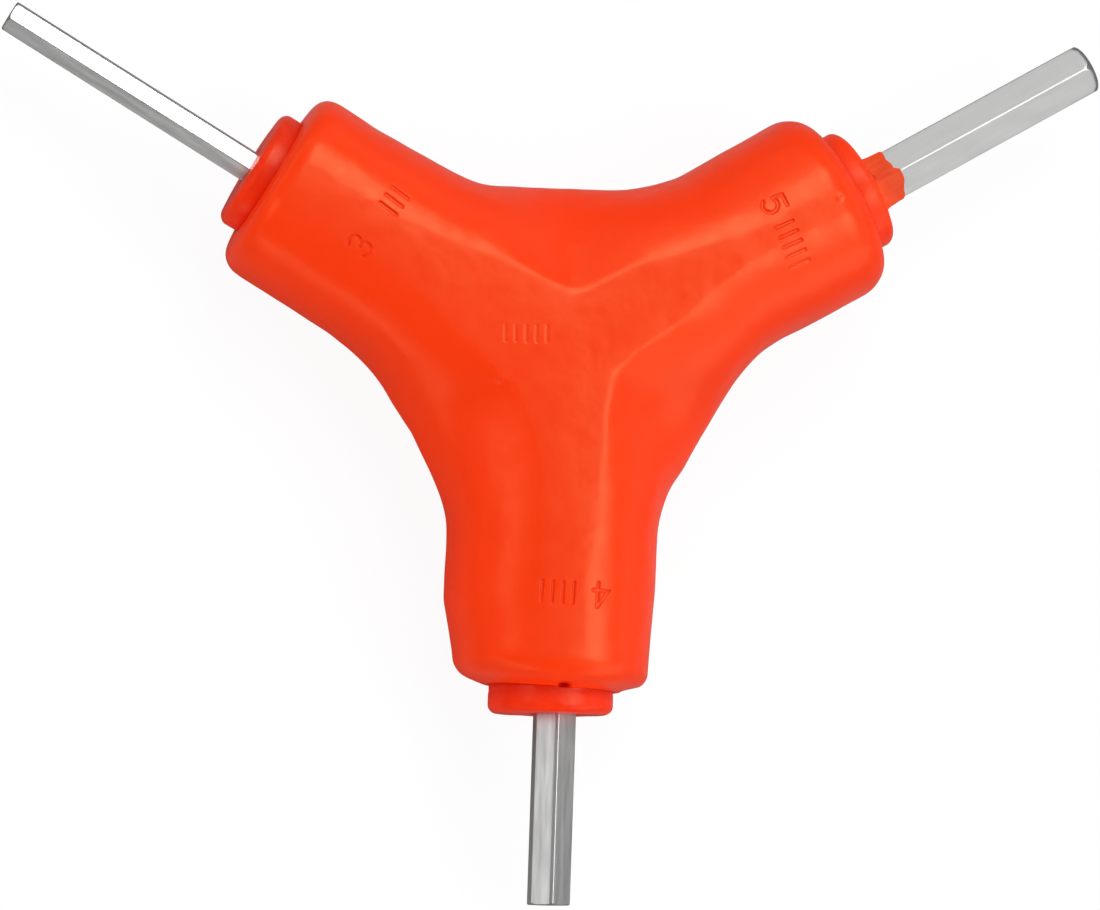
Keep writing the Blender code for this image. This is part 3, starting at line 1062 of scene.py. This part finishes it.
def table_tone(nodes, links):
    """Dark where the table ends; under the grip, painted light towards the lamps, shade away.
    """
    place = nodes.new("ShaderNodeTexCoord")
    away = nodes.new("ShaderNodeVectorMath")
    away.operation = "LENGTH"
    links.new(place.outputs["Object"], away.inputs[0])
    tone = ranged(nodes, links, away.outputs["Value"], *TABLE_EDGE, *TABLE_TONES)
    # Painted light and shade: the tone rises towards the lamps and falls on the far side.
    towards = nodes.new("ShaderNodeVectorMath")
    towards.operation = "DOT_PRODUCT"
    azimuth = math.radians(PAINTED_LIT_SIDE["azimuth"])
    towards.inputs[1].default_value = (math.cos(azimuth), math.sin(azimuth), 0)
    links.new(place.outputs["Object"], towards.inputs[0])
    change = PAINTED_LIT_SIDE["least"] - 1, PAINTED_LIT_SIDE["most"] - 1
    width = PAINTED_LIT_SIDE["from"], PAINTED_LIT_SIDE["to"]
    side = ranged(nodes, links, towards.outputs["Value"], *width, *change)
    under = ranged(nodes, links, away.outputs["Value"], *UNDER_EDGE, 1, 0)
    factor = calculated(nodes, links, "MULTIPLY_ADD", side, under, 1.0)
    return calculated(nodes, links, "MULTIPLY", tone, factor)


def stage():
    """Floor that keeps a faint shadow: mostly its own white to the camera and in gloss."""
    half = FLOOR_HALF
    corners = [(-half, -half, 0), (half, -half, 0), (half, half, 0), (-half, half, 0)]
    mesh = bpy.data.meshes.new("floor")
    mesh.from_pydata(corners, [], [(0, 1, 2, 3)])
    floor = add_piece("floor", mesh, False)
    material = bpy.data.materials.new("floor_white")
    material.use_nodes = True
    nodes, links = material.node_tree.nodes, material.node_tree.links
    nodes.clear()
    lit = nodes.new("ShaderNodeBsdfDiffuse")
    lit.inputs["Color"].default_value = (FLOOR_LIT, FLOOR_LIT, FLOOR_LIT, 1)
    own = nodes.new("ShaderNodeEmission")
    own.inputs["Strength"].default_value = FLOOR_OWN
    seen = nodes.new("ShaderNodeAddShader")
    links.new(lit.outputs[0], seen.inputs[0])
    links.new(own.outputs[0], seen.inputs[1])
    table = nodes.new("ShaderNodeBsdfDiffuse")
    links.new(table_tone(nodes, links), table.inputs["Color"])
    mix = nodes.new("ShaderNodeMixShader")
    links.new(shown_share(nodes, links, TABLE_IN_GLOSS), mix.inputs[0])
    links.new(table.outputs[0], mix.inputs[1])
    links.new(seen.outputs[0], mix.inputs[2])
    out = nodes.new("ShaderNodeOutputMaterial")
    links.new(mix.outputs[0], out.inputs["Surface"])
    mesh.materials.append(material)


def camera():
    """Long lens near the axis of the hub, aimed so that the hub falls on its pixel."""
    hub = Vector((0, 0, MID * MM))
    back = Vector((-math.sin(VIEW_LEFT), -math.sin(VIEW_BELOW), 0))
    back.z = math.sqrt(1 - back.x**2 - back.y**2)
    flat_right = Vector((0, 1, 0)).cross(back).normalized()
    flat_up = back.cross(flat_right)
    right = math.cos(VIEW_ROLL) * flat_right - math.sin(VIEW_ROLL) * flat_up
    up = math.sin(VIEW_ROLL) * flat_right + math.cos(VIEW_ROLL) * flat_up
    place = hub + VIEW_DISTANCE * back
    aside_by, below_by = (
        (size / 2 - pixel) / PIXELS_PER_METRE for size, pixel in zip(FRAME_SIZE, HUB_PIXEL)
    )
    target = hub + aside_by * right - below_by * up
    ahead = (target - place).normalized()
    aside = ahead.cross(up).normalized()
    above = aside.cross(ahead)
    data = bpy.data.cameras.new("camera")
    data.sensor_width = SENSOR_WIDTH
    data.lens = SENSOR_WIDTH * PIXELS_PER_METRE * VIEW_DISTANCE / FRAME_SIZE[0]
    made = add_object("camera", data)
    turned = Matrix((aside, above, -ahead)).transposed().to_4x4()
    made.matrix_world = Matrix.Translation(place) @ turned
    bpy.context.scene.camera = made


def lamp(name, tilt, azimuth, size, level, gloss=True):
    """Soft box aimed at the hub; level is what it adds to a facing surface."""
    t, a = math.radians(tilt), math.radians(azimuth)
    outward = Vector((math.sin(t) * math.cos(a), math.sin(t) * math.sin(a), math.cos(t)))
    data = bpy.data.lights.new(name, "AREA")
    data.shape = "RECTANGLE"
    data.size, data.size_y = size
    data.energy = level * math.pi * LAMP_DISTANCE**2 * math.pi
    made = add_object(name, data)
    made.location = outward * LAMP_DISTANCE
    aim = Vector((0, 0, MID * MM)) - made.location
    made.rotation_mode = "QUATERNION"
    made.rotation_quaternion = aim.to_track_quat("-Z", "Y")
    made.visible_camera = False
    made.visible_glossy = gloss


def lamps():
    """Lamps that show in gloss, then fills that don't."""
    for name, settings in LAMPS.items():
        lamp(name, *settings)
    lamp("fill_above", *FILL_ABOVE, gloss=False)
    for azimuth, level in FILLS.items():
        lamp("fill_" + str(azimuth), FILL_TILT, azimuth, FILL_SIZE, level, gloss=False)


def sky():
    """Even room light, white at the horizon so that low views keep a pale ground."""
    world = bpy.data.worlds.new("studio")
    bpy.context.scene.world = world
    world.use_nodes = True
    nodes, links = world.node_tree.nodes, world.node_tree.links
    place = nodes.new("ShaderNodeTexCoord")
    split = nodes.new("ShaderNodeSeparateXYZ")
    links.new(place.outputs["Generated"], split.inputs[0])
    white = 1 - ROOM_LEVEL
    low = ranged(nodes, links, split.outputs["Z"], *HORIZON, white, 0, "SMOOTHSTEP")
    shown = shown_share(nodes, links, HORIZON_IN_GLOSS)
    seen = calculated(nodes, links, "MULTIPLY", low, shown)
    level = calculated(nodes, links, "ADD", seen, ROOM_LEVEL)
    links.new(level, nodes["Background"].inputs["Strength"])
    nodes["Background"].inputs["Color"].default_value = (1, 1, 1, 1)


def main():
    noise.seed_set(NOISE_SEED)
    skin = grip_skin()
    for size, arm in ARMS.items():
        boss = collar(size, arm)
        if size == "4mm":
            cut_pit((skin, boss))
        boss.data.materials.append(collar_material(size))
        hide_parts("collar_" + size)
        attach(boss, "root")
        if "sheath" in arm:
            left = sheath(size, arm)
            left.data.materials.append(sheath_material())
            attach(left, "root")
        key = hex_key(size, arm)
        key.data.materials.append(steel_material(size))
        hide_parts("key_" + size)
        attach(key, "root")
    skin.data.materials.append(grip_material())
    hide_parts("outer_grip")
    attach(skin, "root")
    bpy.data.objects["inner_core"].material_slots[0].material = core_material()
    stage()
    camera()
    lamps()
    sky()
    bpy.context.scene.view_settings.view_transform = "Standard"


main()
